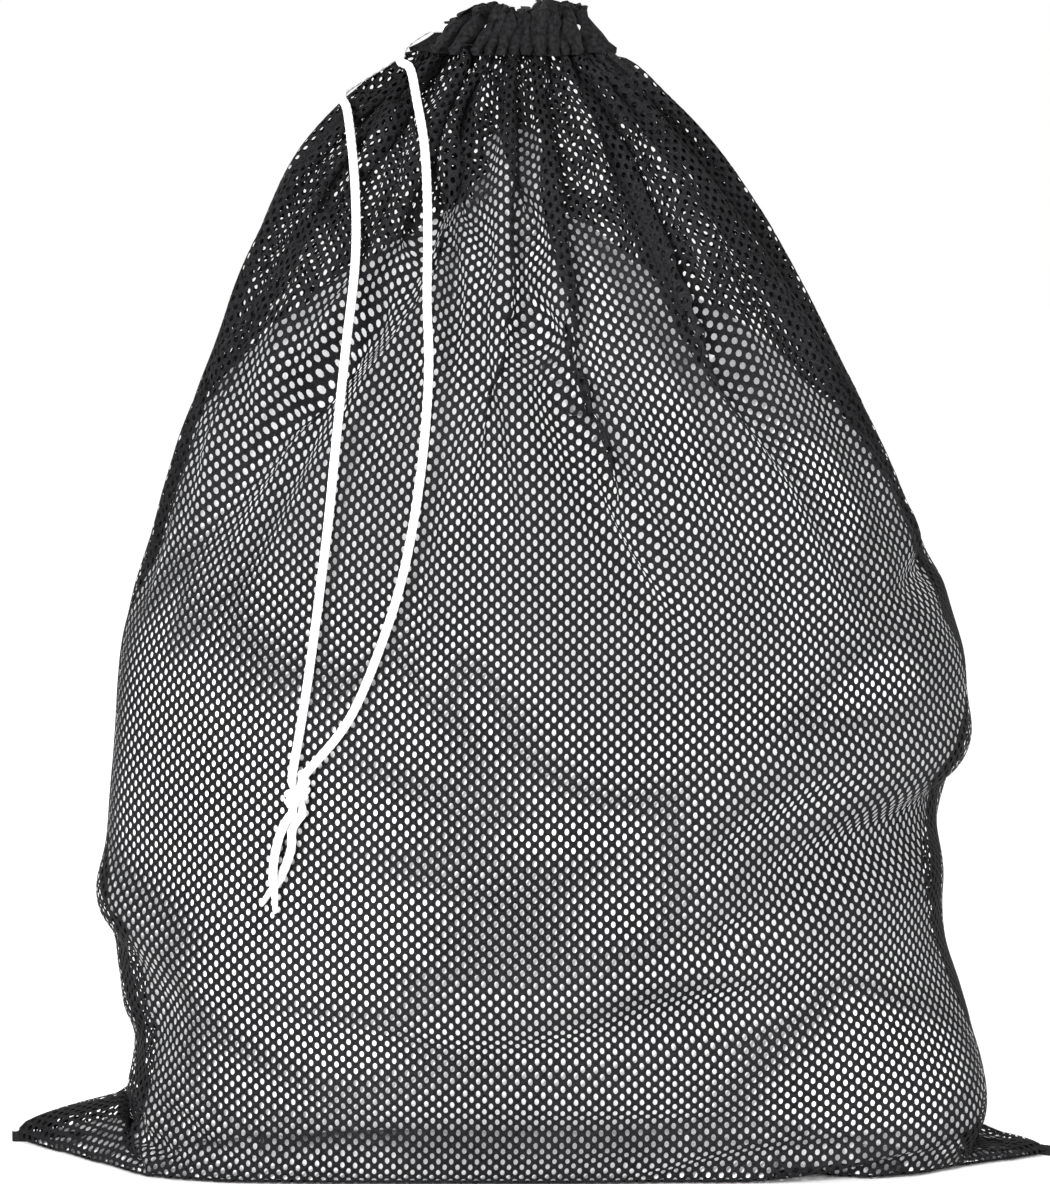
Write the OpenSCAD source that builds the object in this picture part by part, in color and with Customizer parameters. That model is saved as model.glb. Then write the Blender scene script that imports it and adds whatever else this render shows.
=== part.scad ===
// Drawstring mesh bag: two mesh panels sewn together, a gathered hem with a casing, and one knotted cord.
// Frame: +Z up, front towards -Y, origin on the floor under the middle of the bag. Millimetres.

/* [Bag] */
// Flat width of the mesh, from one corner lying on the floor to the other
flat_width = 610; // [590:5:630]
// Depth of the filled bag, front to back
filled_depth = 294; // [284:2:304]
// Standing height, from the floor to the top of the gathered hem
standing_height = 666; // [650:2:690]
// Thickness of the mesh cloth
cloth_t = 1.5; // [1.2:0.1:1.8]
// Half of the gap between the two panels, which the seams fill
half_gap = 0.6; // [0.4:0.1:0.8]

/* [Seams] */
// Depth of the seam allowance inside the bag
allowance = 6.5; // [5:0.5:8]
// Thickness of the overlocked bead on the allowance
bead_t = 3.2; // [2.4:0.2:4]

/* [Hem] */
// Number of pleats that the hem is gathered into
pleat_count = 22; // [16:2:26]
// How far a pleat stands out, as a share of the casing's own thickness
pleat_depth = 0.14; // [0.05:0.01:0.2]
// Number of stitches along each half of the hem
stitch_count = 24; // [12:1:30]

/* [Drawcord] */
// Diameter of the braided cord
cord_d = 5; // [4:0.5:5]
// Diameter of the melted tips at the cord's ends
tip_d = 3.4; // [2.5:0.1:4]
// Radius of the knot that ties the two strands together
knot_r = 6.5; // [5.5:0.5:6.5]

/* [Hidden] */

// The shape is drawn at this size and then fitted to the sizes above.
drawn_size = [610, 294, 666];
fit_scale = [flat_width / drawn_size.x, filled_depth / drawn_size.y, standing_height / drawn_size.z];

// Stations of the filled bag: [height, left half width, right half width, half depth, squareness].
// Squareness is the exponent of the superellipse that a level section follows: 2 is an ellipse.
stations = [
    [0, 222, 232, 76, 6],
    [14, 230, 258, 94, 5],
    [40, 230, 268, 108, 3.6],
    [95, 235, 252, 121, 2.7],
    [130, 250, 240, 125, 2.5],
    [185, 247, 238, 128, 2.3],
    [225, 245, 248, 128, 2.3],
    [300, 238, 250, 132, 2.2],
    [380, 213, 223, 146, 2.1],
    [450, 191, 191, 142, 2.1],
    [520, 168, 148, 118, 2.1],
    [570, 138, 114, 90, 2.1],
    [610, 107, 81, 60, 2.1],
    [633, 71, 53, 38, 2.1],
    [640, 58, 41, 27, 2]];
left_column = 1;
right_column = 2;
depth_column = 3;
square_column = 4;
rim_z = 640;

// The empty corners of the bag lie on the floor as ears.
ear_reach = 305;
ear_half_width = 76;
left_ear_h = 30;
right_ear_h = 16;
// Inner surface of an ear: how much shorter it is than the outer surface.
ear_wall = 7;

// Heights of the rings that the panels are lofted through, above the base.
ring_heights = [4, 9, 14, 21, 30, 40, 58, 76, 95, 112, 130, 157, 185, 205, 225, 262, 300, 340, 380,
                415, 450, 485, 520, 545, 570, 590, 610, 622, 633, rim_z];
panel_steps = 36;

// Centre line of the cord inside the hem: an ellipse around the neck.
neck_x = -9;
neck_half = [38, 19];
cord_z = 651;
// Angle at the left end over which the casing is open for the cord.
exit_angle = 22;
// Plane where the cord leaves the hem.
exit_x = -57;
// The ring in the hem ends this far inside that plane, so the loop of cord can swing.
ring_gap = 2.2;

// Casing section: [distance outwards from the cord's centre line, height], outside and channel.
casing_outside = [[-5, 640], [3, 640], [9, 640], [9.5, 645], [8, 652], [4.5, 660], [1, 666],
                  [-3.5, 666], [-6, 661], [-6.5, 651]];
casing_channel = [[-3, 644], [1, 643], [4.6, 644], [5, 648], [4.6, 652], [3.2, 658], [0.5, 661],
                  [-2.4, 661], [-3.8, 657], [-4.2, 650]];
casing_steps = 66;

// Stitch and bartack sizes: [along the hem, thickness, height].
stitch_size = [3.4, 1, 1];
stitch_z = 643;
bartack_size = [2.6, 1.6, 18];
// Distance of the stitches' centres outside the cord's centre line.
stitch_offset = 9.6;

// Routes, from where each length starts to where it ends.
casing_route = concat([[exit_x + ring_gap, -4.3, cord_z], [-52, -4.6, cord_z]],
                      [for (a = [200:20:520]) neck_point(a, 0, cord_z)],
                      [[-52, 4.6, cord_z], [exit_x + ring_gap, 4.3, cord_z]]);
left_route = [[exit_x, 4, 651], [-66, 5, 647], [-78, 4, 634], [-92, 2, 625], [-104, -5, 617],
              [-106, -19, 612], [-102, -39, 604], [-97, -74, 567], [-96, -101, 526], [-101, -118, 478],
              [-106, -129, 429], [-111, -132, 380], [-119, -124, 320], [-125, -120, 280],
              [-132, -121, 240]];
right_route = [[exit_x, -4, 651], [-64, -3, 647], [-71, -5, 641], [-73, -17, 633], [-67, -32, 629],
               [-63, -53, 613], [-58, -76, 586], [-56, -101, 549], [-56, -122, 506], [-55, -137, 466],
               [-59, -144, 415], [-68, -142, 362], [-81, -132, 318], [-100, -125, 273],
               [-126, -122, 240]];
left_tail_route = [[-132, -122, 219.8], [-137, -119, 212], [-141, -118, 200], [-143, -120, 186],
                   [-142, -120, 171]];
right_tail_route = [[-126, -122, 219.8], [-132, -118, 210], [-133, -117, 198], [-139, -115, 182],
                    [-146, -114, 172]];
left_tip_route = [[-142, -120, 170.9], [-142, -118, 163]];
right_tip_route = [[-146.1, -114, 171.9], [-150, -113, 166]];
knot_top = [-129, -122, 235];
knot_bottom = [-129, -122, 228];

cord_sides = 8;
up = [0, 0, 1];
back = [0, 1, 0];

// ---- Fitting and interpolation

function fit(points) = [for (p = points) [p.x * fit_scale.x, p.y * fit_scale.y, p.z * fit_scale.z]];

function slope_at(i, column) =
    let (a = stations[max(i - 1, 0)], b = stations[min(i + 1, len(stations) - 1)])
    (b[column] - a[column]) / (b[0] - a[0]);

function station_below(z) =
    min(len(stations) - 2, len([for (s = stations) if (s[0] <= z) s]) - 1);

// Smooth curve through one column of the stations, read at a height.
function shape_at(z, column) =
    let (i = station_below(z),
         a = stations[i],
         b = stations[i + 1],
         h = b[0] - a[0],
         t = (z - a[0]) / h)
    (2 * pow(t, 3) - 3 * pow(t, 2) + 1) * a[column]
    + (pow(t, 3) - 2 * pow(t, 2) + t) * h * slope_at(i, column)
    + (3 * pow(t, 2) - 2 * pow(t, 3)) * b[column]
    + (pow(t, 3) - pow(t, 2)) * h * slope_at(i + 1, column);

// How far an ear reaches past the side of the bag at a height.
function ear_length(z, half_width, ear_h) =
    z >= ear_h ? 0 : (ear_reach - half_width) * (1 - pow(z / ear_h, 2));

// Smooth curve through a route: each stretch is divided into the given number of steps.
function stretch_point(a, b, c, d, t) =
    0.5 * (2 * b + (c - a) * t + (2 * a - 5 * b + 4 * c - d) * t * t
           + (3 * b - a - 3 * c + d) * t * t * t);

function smooth_route(route, steps) =
    let (last = len(route) - 1)
    concat([for (i = [0:last - 1], k = [0:steps - 1])
                stretch_point(i == 0 ? 2 * route[0] - route[1] : route[i - 1],
                              route[i],
                              route[i + 1],
                              i + 1 == last ? 2 * route[last] - route[last - 1] : route[i + 2],
                              k / steps)],
           [route[last]]);

// ---- Shells and tubes

// Point on a level section. Angles 180 to 360 run along the front, from left to right.
function section_point(angle, z, inset) =
    let (c = cos(angle),
         s = sin(angle),
         left = c < 0,
         half_width = shape_at(z, left ? left_column : right_column),
         bend = 2 / shape_at(z, square_column),
         x = (half_width - inset) * pow(abs(c), bend),
         y = (shape_at(z, depth_column) - inset) * pow(abs(s), bend),
         ear = ear_length(z, half_width, left ? left_ear_h : right_ear_h) - (inset > 0 ? ear_wall : 0),
         flap = max(0, ear) * max(0, 1 - y / ear_half_width))
    [(left ? -1 : 1) * (x + flap), -y - half_gap, z];

function panel_ring(z, inset) =
    [for (k = [0:panel_steps]) section_point(180 + 180 * k / panel_steps, z, inset)];

function panel_rings(base_z, inset) =
    concat(panel_ring(base_z, inset), [for (z = ring_heights) each panel_ring(z, inset)]);

// Front panel with its half of the base, as a closed shell of cloth.
module panel_shell() {
    n = panel_steps + 1;
    rows = len(ring_heights) + 1;
    m = n * rows;
    top = m - n;
    polyhedron(
        points = fit(concat(panel_rings(0, 0), panel_rings(cloth_t, cloth_t))),
        faces = concat(
            [for (i = [0:rows - 2], k = [0:n - 2]) let (a = i * n + k) each
                [[a, a + n, a + n + 1], [a, a + n + 1, a + 1],
                 [m + a, m + a + n + 1, m + a + n], [m + a, m + a + 1, m + a + n + 1]]],
            [for (k = [0:n - 2]) let (a = top + k) each
                [[a, m + a, m + a + 1], [a, m + a + 1, a + 1]]],
            [for (i = [0:rows - 2]) let (a = i * n, b = a + n - 1) each
                [[m + a, m + a + n, a + n], [m + a, a + n, a],
                 [b, b + n, m + b + n], [b, m + b + n, m + b]]],
            [[for (k = [0:n - 1]) k]],
            [[for (k = [n - 1:-1:0]) m + k]],
            [[n - 1, m + n - 1, m, 0]]),
        convexity = 8);
}

// Point at a distance outwards from the cord's centre line around the neck.
function neck_point(angle, offset, z) =
    let (n = [cos(angle) / neck_half.x, sin(angle) / neck_half.y])
    [neck_x + neck_half.x * cos(angle) + offset * n.x / norm(n),
     neck_half.y * sin(angle) + offset * n.y / norm(n),
     z];

function pleat(angle) = 1 + pleat_depth * sin(pleat_count * angle);

function casing_ring(angle, section, pleated) =
    [for (p = section)
        neck_point(angle, p[0] * (pleated ? pleat(angle) : 1), p[1]) - half_gap / 2 * back];

// Front half of the hem: a pleated tube of cloth with the cord's channel through it.
module casing_half() {
    n = len(casing_outside);
    first = 180 + exit_angle;
    angles = [for (k = [0:casing_steps]) first + (360 - first) * k / casing_steps];
    m = n * (casing_steps + 1);
    last = n * casing_steps;
    polyhedron(
        points = fit(concat([for (a = angles) each casing_ring(a, casing_outside, true)],
                            [for (a = angles) each casing_ring(a, casing_channel, false)])),
        faces = concat(
            [for (i = [0:casing_steps - 1], j = [0:n - 1])
                let (a = i * n + j, b = i * n + (j + 1) % n) each
                [[a, a + n, b + n], [a, b + n, b],
                 [m + a, m + b + n, m + a + n], [m + a, m + b, m + b + n]]],
            [for (j = [0:n - 1]) let (a = j, b = (j + 1) % n) each
                [[a, b, m + b], [a, m + b, m + a],
                 [last + a, m + last + b, last + b], [last + a, m + last + a, m + last + b]]]),
        convexity = 8);
}

// Round tube of a diameter through the given points.
module tube(points, diameter, reference) {
    last = len(points) - 1;
    n = cord_sides;
    rings = [for (i = [0:last])
        let (ahead = points[min(i + 1, last)] - points[max(i - 1, 0)],
             t = ahead / norm(ahead),
             side = reference - (reference * t) * t,
             u = side / norm(side),
             v = cross(t, u))
        each [for (k = [0:n - 1])
            points[i] + diameter / 2 * (cos(360 * k / n) * u + sin(360 * k / n) * v)]];
    polyhedron(
        points = fit(rings),
        faces = concat(
            [for (i = [0:last - 1], k = [0:n - 1])
                let (a = i * n + k, b = i * n + (k + 1) % n) each
                [[a, a + n, b + n], [a, b + n, b]]],
            [[for (k = [0:n - 1]) k]],
            [[for (k = [n - 1:-1:0]) last * n + k]]),
        convexity = 6);
}

// ---- Seams, drawn flat in the plane between the panels

module side_outline() {
    heights = concat([0], ring_heights, [rim_z + 3 * allowance]);
    left = [for (z = heights) let (w = shape_at(min(z, rim_z), left_column))
        [-(w + ear_length(z, w, left_ear_h)) * fit_scale.x, z * fit_scale.z]];
    right = [for (z = heights) let (w = shape_at(min(z, rim_z), right_column))
        [(w + ear_length(z, w, right_ear_h)) * fit_scale.x, z * fit_scale.z]];
    last = len(heights) - 1;
    polygon(concat(left, [for (i = [last:-1:0]) right[i]]));
}

module seam_band(from, to) {
    difference() {
        offset(delta = -from) side_outline();
        offset(delta = -to) side_outline();
    }
}

module seam_slab(thickness) {
    rotate([90, 0, 0]) linear_extrude(height = thickness, center = true) children();
}

// The part of the seam inside a window: [x, z] of its low corner, and its size.
module seam(corner, size) {
    seam_slab(2 * half_gap) intersection() {
        seam_band(0, allowance);
        translate(corner) square(size);
    }
    seam_slab(bead_t) intersection() {
        seam_band(allowance / 2, allowance);
        translate(corner) square(size);
    }
}

// ---- Pieces

module front_panel() {
    color("dimgray") panel_shell();
}

module back_panel() {
    color("dimgray") mirror(back) panel_shell();
}

module left_side_seam() {
    color([0.1, 0.1, 0.1]) seam([-flat_width, allowance], [flat_width, rim_z * fit_scale.z - allowance]);
}

module right_side_seam() {
    color([0.1, 0.1, 0.1]) seam([0, allowance], [flat_width, rim_z * fit_scale.z - allowance]);
}

module bottom_seam() {
    color([0.1, 0.1, 0.1]) seam([-flat_width, 0], [2 * flat_width, allowance]);
}

module front_casing() {
    color([0.2, 0.2, 0.2]) casing_half();
}

module back_casing() {
    color([0.2, 0.2, 0.2]) mirror(back) casing_half();
}

// One stitch or bartack, lying along the hem at an angle around the neck.
module hem_piece(angle, offset, z, size) {
    at = fit([neck_point(angle, offset, z)])[0];
    along = neck_point(angle + 1, offset, z) - neck_point(angle - 1, offset, z);
    translate(at) rotate([0, 0, atan2(along.y, along.x)]) cube(size, center = true);
}

module hem_stitches() {
    span = 180 - exit_angle;
    color([0.05, 0.05, 0.05])
        for (i = [0:stitch_count - 1], side = [-1, 1]) {
            angle = side * (i + 0.5) * span / stitch_count;
            hem_piece(angle, stitch_offset, stitch_z, stitch_size);
        }
}

module exit_bartacks() {
    bartack_z = (casing_outside[0][1] + cord_z) / 2 + 5;
    color([0.05, 0.05, 0.05])
        for (side = [-1, 1])
            hem_piece(180 + side * (exit_angle + 2), 8, bartack_z, bartack_size);
}

module casing_drawcord() {
    color("white") tube(casing_route, cord_d, up);
}

module left_strand() {
    color("white") tube(smooth_route(left_route, 2), cord_d, back);
}

module right_strand() {
    color("white") tube(smooth_route(right_route, 2), cord_d, back);
}

module cord_knot() {
    ends = fit([knot_top, knot_bottom]);
    color("white") {
        for (p = ends)
            translate(p) sphere(r = knot_r, $fn = 40);
        translate(ends[1]) cylinder(r = knot_r, h = ends[0].z - ends[1].z, $fn = 40);
    }
}

module left_tail() {
    color("white") tube(left_tail_route, cord_d, back);
}

module right_tail() {
    color("white") tube(right_tail_route, cord_d, back);
}

module tail_tips() {
    color("gainsboro") {
        tube(left_tip_route, tip_d, back);
        tube(right_tip_route, tip_d, back);
    }
}

front_panel();
back_panel();
left_side_seam();
right_side_seam();
bottom_seam();
front_casing();
back_casing();
hem_stitches();
exit_bartacks();
casing_drawcord();
left_strand();
right_strand();
cord_knot();
left_tail();
right_tail();
tail_tips();
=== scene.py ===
"""Looks for the drawstring mesh bag.

Gathered cloth with real holes, hem casing, seams, braided cord, white filling, camera and light.
"""
import math

import bpy
import numpy as np
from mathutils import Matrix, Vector


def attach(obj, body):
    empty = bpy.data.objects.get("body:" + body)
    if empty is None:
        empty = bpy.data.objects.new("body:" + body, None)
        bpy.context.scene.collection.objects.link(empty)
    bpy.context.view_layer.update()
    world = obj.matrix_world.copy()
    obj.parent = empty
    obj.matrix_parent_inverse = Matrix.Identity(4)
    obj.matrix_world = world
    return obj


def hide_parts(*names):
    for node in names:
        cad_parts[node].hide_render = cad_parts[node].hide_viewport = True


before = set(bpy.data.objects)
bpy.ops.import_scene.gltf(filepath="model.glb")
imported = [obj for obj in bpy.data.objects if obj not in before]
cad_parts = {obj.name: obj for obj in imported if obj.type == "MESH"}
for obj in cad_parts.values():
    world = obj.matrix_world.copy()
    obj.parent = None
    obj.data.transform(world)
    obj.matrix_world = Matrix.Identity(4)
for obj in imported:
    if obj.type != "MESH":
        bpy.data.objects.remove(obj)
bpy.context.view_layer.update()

# ------------------------------------------------------------------ sizes, in metres
HALF_W = 0.305          # half the flat width of a panel
CLOTH_V = 0.785         # length of a panel from the bottom seam to the casing
BASE_D = 0.076          # half depth of the base on the floor
RIM_Z = 0.640           # height of the casing's stitch line
COLS, ROWS = 240, 127   # simulated columns round the bag and rows up it
NECK = (-0.009, 0.045, 0.026)   # centre x, half width, half depth at the stitch line
EAR_RISE = {-1: 0.026, 1: 0.005}  # how high each bottom corner stands off the floor
PITCH = 0.610 / 86      # distance between holes in one row
HOLE = (0.00120, 0.00178)       # half width and half height of a hole
CORD_D = 0.005          # cord thickness
TIP_D = 0.0034          # melted tip thickness
STITCH = 0.0036         # length of one hem stitch with its gap
HEM_H = 0.0215          # height of the hem above its stitch line, without its humps
SEAM_W = 0.0055         # width of an overlocked seam
CORNER_LEAN = 0.034     # how far the right corner of the base points forward
PATCH = 0.0008          # gap between the cloth and what fills the bag
CREASE_GAP = 0.026      # how far the filling stays behind the cloth in a crease
NEAR_CLOTH = 0.012      # the filling stays behind all cloth within this distance
DEEPEST = 0.035         # how far the filling stays behind a standing pleat at most
DOME = 0.045            # height of the filling's rounded top

# z, left half width, right half width, half depth, squareness of the filled bag's sections
STATIONS = np.array([
    [0, 222, 232, 76, 6],
    [14, 230, 258, 94, 5],
    [40, 230, 268, 108, 3.6],
    [95, 235, 252, 121, 2.7],
    [130, 250, 240, 125, 2.5],
    [185, 247, 238, 128, 2.3],
    [225, 245, 248, 128, 2.3],
    [300, 238, 250, 132, 2.2],
    [380, 213, 223, 146, 2.1],
    [450, 191, 191, 142, 2.1],
    [520, 168, 148, 118, 2.1],
    [570, 138, 114, 90, 2.1],
    [610, 107, 81, 60, 2.1],
    [633, 71, 53, 38, 2.1],
    [640, 58, 41, 27, 2],
], float)
STATIONS[:, :4] /= 1000

# the cord's route, as in the CAD model, in millimetres
ROUTES = {
    "left_strand": [
        [-57, 4, 651], [-66, 5, 647], [-78, 4, 634], [-92, 2, 625], [-104, -5, 617],
        [-106, -19, 612], [-102, -39, 604], [-97, -74, 567], [-96, -101, 526], [-101, -118, 478],
        [-106, -129, 429], [-111, -132, 380], [-119, -124, 320], [-125, -120, 280], [-132, -121, 240],
    ],
    "right_strand": [
        [-57, -4, 651], [-64, -3, 647], [-71, -5, 641], [-73, -17, 633], [-67, -32, 629],
        [-63, -53, 613], [-58, -76, 586], [-56, -101, 549], [-56, -122, 506], [-55, -137, 466],
        [-59, -144, 415], [-68, -142, 362], [-81, -132, 318], [-100, -125, 273], [-126, -122, 240],
    ],
    "left_tail": [
        [-132, -122, 219.8], [-137, -119, 212], [-141, -118, 200], [-143, -120, 186], [-142, -120, 171],
    ],
    "right_tail": [
        [-126, -122, 219.8], [-132, -118, 210], [-133, -117, 198], [-139, -115, 182], [-146, -114, 172],
    ],
    "left_tip": [[-142, -120, 170.9], [-142, -118, 163]],
    "right_tip": [[-146.1, -114, 171.9], [-150, -113, 166]],
}
KNOT_TOP, KNOT_LOW = (-0.129, -0.122, 0.238), (-0.129, -0.122, 0.225)


# ------------------------------------------------------------------ camera, light and floor
EYE = (-0.00235, -2.7728, 0.7167)
LOOK_AT = (-0.00235, 0, 0.327)
BAG_MIDDLE = (0, 0, 0.3)
FLOOR_HALF = 6
FLOOR_CELLS = 48


def aim(obj, target):
    obj.rotation_euler = (Vector(target) - obj.location).to_track_quat("-Z", "Y").to_euler()


def add_camera():
    data = bpy.data.cameras.new("photo_camera")
    cam = bpy.data.objects.new("photo_camera", data)
    bpy.context.collection.objects.link(cam)
    cam.location = EYE
    aim(cam, LOOK_AT)
    data.lens, data.sensor_width = 147.2, 36
    bpy.context.scene.camera = cam


def area_light(name, place, target, size, power):
    data = bpy.data.lights.new(name, "AREA")
    data.shape, data.size, data.energy = "DISK", size, power
    obj = bpy.data.objects.new(name, data)
    bpy.context.collection.objects.link(obj)
    obj.location = place
    aim(obj, target)


def new_material(name):
    mat = bpy.data.materials.new(name)
    mat.use_nodes = True
    nodes, links = mat.node_tree.nodes, mat.node_tree.links
    return mat, nodes, links, nodes["Principled BSDF"]


def add_stage():
    world = bpy.data.worlds.new("studio")
    bpy.context.scene.world = world
    world.use_nodes = True
    world.node_tree.nodes["Background"].inputs["Color"].default_value = (1, 1, 1, 1)
    world.node_tree.nodes["Background"].inputs["Strength"].default_value = 1.0
    bpy.context.scene.view_settings.view_transform = "Standard"
    area_light("key", (-0.9, -2.9, 1.5), BAG_MIDDLE, 0.8, 155)
    area_light("fill", (1.6, -2.4, 0.9), BAG_MIDDLE, 1.2, 32)
    area_light("top", (0.1, 0.4, 2.3), (0, 0, 0.4), 1.2, 14)
    mat, _, _, shader = new_material("pale_floor")
    shader.inputs["Base Color"].default_value = (0.98, 0.98, 0.98, 1)
    shader.inputs["Roughness"].default_value = 0.9
    t = np.linspace(-FLOOR_HALF, FLOOR_HALF, FLOOR_CELLS)
    x, y = np.meshgrid(t, t)
    verts = np.stack([x, y, np.zeros_like(x)], -1).reshape(-1, 3)
    floor = mesh_object("studio_floor", verts, grid_faces(FLOOR_CELLS, FLOOR_CELLS), mat)


# ------------------------------------------------------------------ small mesh tools
def grid_faces(rows, cols, wrap=False):
    r, c = np.meshgrid(np.arange(rows - 1), np.arange(cols if wrap else cols - 1), indexing="ij")
    d = (c + 1) % cols
    return np.stack([r * cols + c, r * cols + d, (r + 1) * cols + d, (r + 1) * cols + c], -1).reshape(-1, 4)


def mesh_object(name, verts, faces, mat, normals=None, flat_uv=None):
    """One object from arrays: faces are all triangles or all quads."""
    verts, faces = np.asarray(verts, np.float32), np.asarray(faces, np.int32)
    sides = faces.shape[1]
    mesh = bpy.data.meshes.new(name)
    mesh.vertices.add(len(verts))
    mesh.vertices.foreach_set("co", verts.ravel())
    mesh.loops.add(faces.size)
    mesh.loops.foreach_set("vertex_index", faces.ravel())
    mesh.polygons.add(len(faces))
    mesh.polygons.foreach_set("loop_start", np.arange(0, faces.size, sides, dtype=np.int32))
    mesh.polygons.foreach_set("use_smooth", np.ones(len(faces), bool))
    mesh.update(calc_edges=True)
    if flat_uv is not None:
        layer = mesh.uv_layers.new(name="OFBake")
        layer.data.foreach_set("uv", np.asarray(flat_uv, np.float32)[faces.ravel()].ravel())
    if normals is not None:
        mesh.normals_split_custom_set_from_vertices(np.asarray(normals, np.float32).tolist())
    mesh.materials.append(mat)
    obj = bpy.data.objects.new(name, mesh)
    bpy.context.collection.objects.link(obj)
    return obj


def smooth_line(points, step):
    """Catmull-Rom curve through the points, resampled about every step metres."""
    p = np.asarray(points, float)
    p = np.vstack([2 * p[0] - p[1], p, 2 * p[-1] - p[-2]])
    t = np.linspace(0, 1, 33)[:-1, None]
    out = []
    for a, b, c, d in zip(p[:-3], p[1:-2], p[2:-1], p[3:]):
        out.append(0.5 * (2 * b + (c - a) * t + (2 * a - 5 * b + 4 * c - d) * t ** 2
                          + (3 * b - a - 3 * c + d) * t ** 3))
    line = np.vstack(out + [p[-2][None]])
    s = np.concatenate([[0], np.cumsum(np.linalg.norm(np.diff(line, axis=0), axis=1))])
    n = max(4, int(round(s[-1] / step)) + 1)
    q = np.linspace(0, s[-1], n)
    return np.stack([np.interp(q, s, line[:, k]) for k in range(3)], 1)


def frames_along(line):
    """Unit tangent, side and up vectors carried along the line without twist."""
    t = np.gradient(line, axis=0)
    t /= np.linalg.norm(t, axis=1, keepdims=True)
    side = np.zeros_like(line)
    first = np.array([0, 1, 0.3]) if abs(t[0, 1]) < 0.8 else np.array([1, 0, 0])
    side[0] = first - t[0] * (first @ t[0])
    side[0] /= np.linalg.norm(side[0])
    for i in range(1, len(line)):
        v = side[i - 1] - t[i] * (side[i - 1] @ t[i])
        side[i] = v / np.linalg.norm(v)
    return t, side, np.cross(t, side)


def tube(line, radius, sides=20, braid=0.0, braid_pitch=0.0055, ends=True):
    """Vertices and quads of a tube. radius is a number or one for each ring, braid the relief's share."""
    n = len(line)
    radius = np.broadcast_to(np.asarray(radius, float), (n,))
    t, side, up = frames_along(line)
    s = np.concatenate([[0], np.cumsum(np.linalg.norm(np.diff(line, axis=0), axis=1))])
    a = np.arange(sides) * 2 * np.pi / sides
    turn = 2 * np.pi * s[:, None] / braid_pitch
    relief = np.abs(np.sin(2 * a[None] + turn / 2) * np.sin(2 * a[None] - turn / 2)) ** 0.6
    r = radius[:, None] * (1 + braid * (relief - 0.6))
    ring = (np.cos(a)[None, :, None] * side[:, None] + np.sin(a)[None, :, None] * up[:, None]) * r[..., None]
    verts = (line[:, None] + ring).reshape(-1, 3)
    faces = grid_faces(n, sides, wrap=True)
    if ends:
        verts = [verts]
        faces = [faces]
        count = n * sides
        for at, way in ((0, -1), (n - 1, 1)):
            base = at * sides
            last = base
            for shrink, out in ((0.8, 0.35), (0.45, 0.62), (0.12, 0.72)):
                loop = line[at] + ring[at] * shrink + t[at] * way * radius[at] * out
                verts.append(loop)
                idx = np.arange(sides)
                nxt = (idx + 1) % sides
                quad = np.stack([last + idx, last + nxt, count + nxt, count + idx], 1)
                faces.append(quad if way > 0 else quad[:, ::-1])
                last = count
                count += sides
            half = sides // 2
            idx = np.arange(half - 1)
            cap = np.stack([last + idx, last + idx + 1,
                            last + (sides - 2 - idx), last + (sides - 1 - idx)], 1)
            faces.append(cap if way > 0 else cap[:, ::-1])
        verts, faces = np.vstack(verts), np.vstack(faces)
    return verts, faces


def joined(parts):
    """Vertices and faces of several parts as one."""
    verts, faces, count = [], [], 0
    for v, f in parts:
        verts.append(v)
        faces.append(np.asarray(f) + count)
        count += len(v)
    return np.vstack(verts), np.vstack(faces)


# ------------------------------------------------------------------ materials
def noise_at(nodes, links, scale, detail):
    """A noise texture fixed to the object."""
    place = nodes.new("ShaderNodeTexCoord")
    noise = nodes.new("ShaderNodeTexNoise")
    noise.inputs["Scale"].default_value = scale
    noise.inputs["Detail"].default_value = detail
    links.new(place.outputs["Object"], noise.inputs["Vector"])
    return noise.outputs["Fac"]


def coloured(nodes, links, shader, value, dark, light):
    """The shader's colour from a value: dark and light are (position, colour)."""
    ramp = nodes.new("ShaderNodeValToRGB")
    for element, (position, colour) in zip(ramp.color_ramp.elements, (dark, light)):
        element.position = position
        element.color = (*colour, 1)
    links.new(value, ramp.inputs["Fac"])
    links.new(ramp.outputs["Color"], shader.inputs["Base Color"])


def bumped(nodes, links, shader, height, strength, distance):
    """A fine relief on the shader."""
    bump = nodes.new("ShaderNodeBump")
    bump.inputs["Strength"].default_value = strength
    bump.inputs["Distance"].default_value = distance
    links.new(height, bump.inputs["Height"])
    links.new(bump.outputs["Normal"], shader.inputs["Normal"])


def cloth_material():
    """Charcoal yarn: a fine uneven knit with patches of lighter and darker dye."""
    mat, nodes, links, shader = new_material("mesh_cloth")
    shader.inputs["Roughness"].default_value = 0.75
    shader.inputs["Sheen Weight"].default_value = 0.015
    shader.inputs["Sheen Roughness"].default_value = 0.4
    shader.inputs["Sheen Tint"].default_value = (0.75, 0.75, 0.8, 1)
    shader.inputs["Specular IOR Level"].default_value = 0.05
    fine = noise_at(nodes, links, 900, 3)
    broad = noise_at(nodes, links, 14, 2)
    weak = nodes.new("ShaderNodeMath")
    weak.operation = "MULTIPLY"
    weak.inputs[1].default_value = 0.25
    links.new(broad, weak.inputs[0])
    both = nodes.new("ShaderNodeMath")
    both.operation = "MULTIPLY_ADD"
    both.inputs[1].default_value = 0.75
    links.new(fine, both.inputs[0])
    links.new(weak.outputs[0], both.inputs[2])
    dark, light = (0.0008, 0.0008, 0.001), (0.018, 0.0175, 0.019)
    coloured(nodes, links, shader, both.outputs[0], (0.32, dark), (0.72, light))
    bumped(nodes, links, shader, fine, 0.55, 0.0004)
    return mat


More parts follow.
